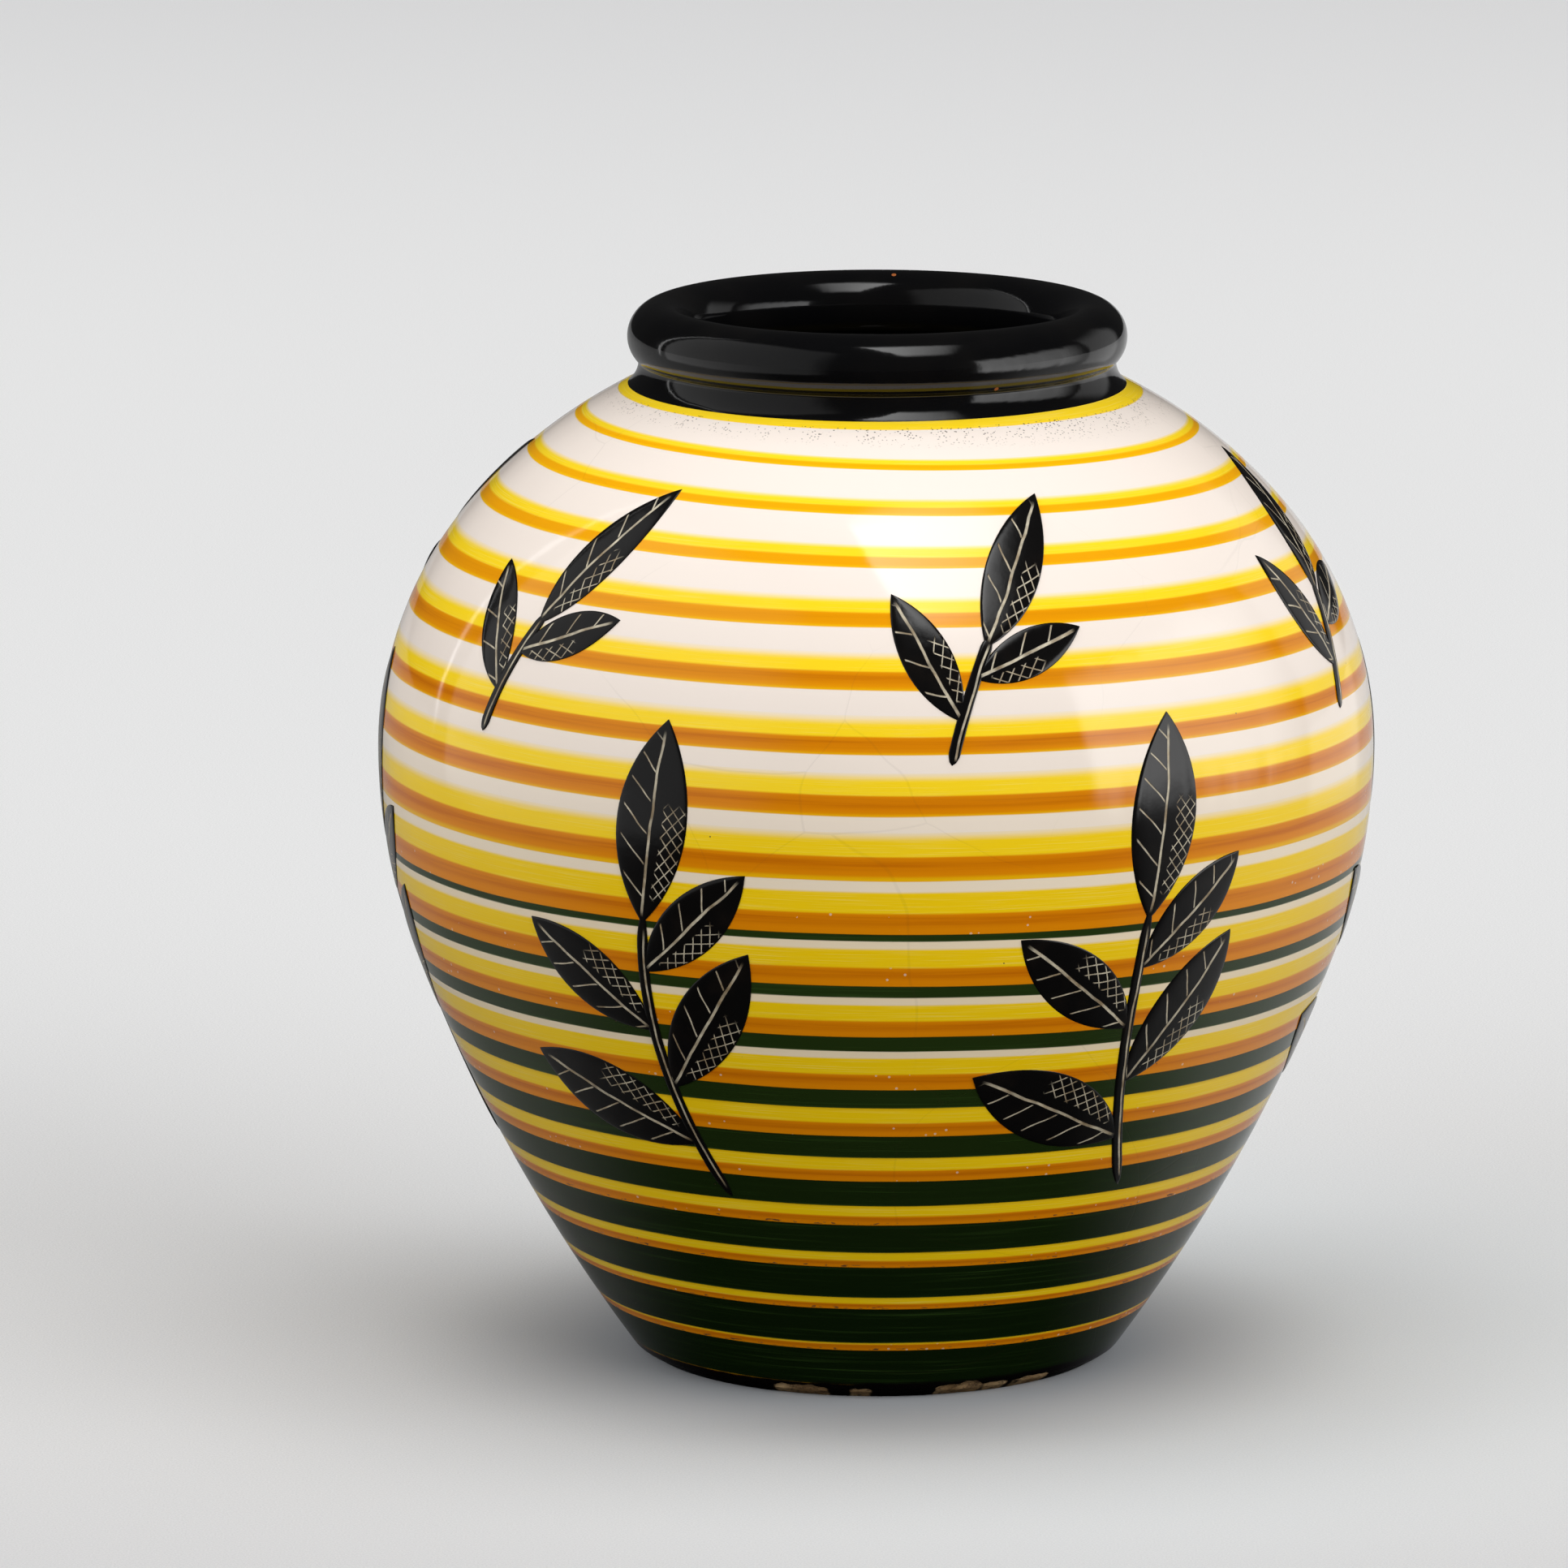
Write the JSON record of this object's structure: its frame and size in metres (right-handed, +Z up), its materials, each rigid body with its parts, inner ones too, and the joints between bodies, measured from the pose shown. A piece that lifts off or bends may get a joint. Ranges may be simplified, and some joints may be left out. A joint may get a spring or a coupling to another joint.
{
  "type": "globe vase",
  "caption": "Round-bellied ceramic vase with a tapered foot, short collar and rolled rim, glazed in painted bands with raised leaf sprigs, for holding flowers.",
  "frame": {"origin": "centre of the foot's standing face", "axes": "+Z up along the axis of the mouth, -Y towards the pictured front"},
  "size_m": [0.2066, 0.206, 0.22],
  "materials": {
    "clay": "bare fired earthenware",
    "slip": "fired luting slip",
    "white_glaze": "warm white gloss glaze",
    "yellow_glaze": "brushed yellow gloss glaze",
    "orange_glaze": "brushed orange gloss glaze",
    "green_glaze": "brushed dark green gloss glaze",
    "black_glaze": "black gloss glaze",
    "lining_glaze": "dark gloss lining",
    "black_slip": "raised black slip with scratched lines"
  },
  "bodies": {
    "root": {"foot_ring": "clay", "foot_slip": "slip", "lower_bowl": "clay", "belly_slip": "slip", "shoulder_dome": "clay", "neck_slip": "slip", "neck_collar": "clay", "rim_slip": "slip", "rolled_rim": "clay", "white_glaze": "white_glaze", "yellow_bands": "yellow_glaze", "orange_bands": "orange_glaze", "green_bands": "green_glaze", "black_glaze": "black_glaze", "lining_glaze": "lining_glaze", "belly_sprigs": "black_slip", "shoulder_sprigs": "black_slip"}
  },
  "joints": []
}
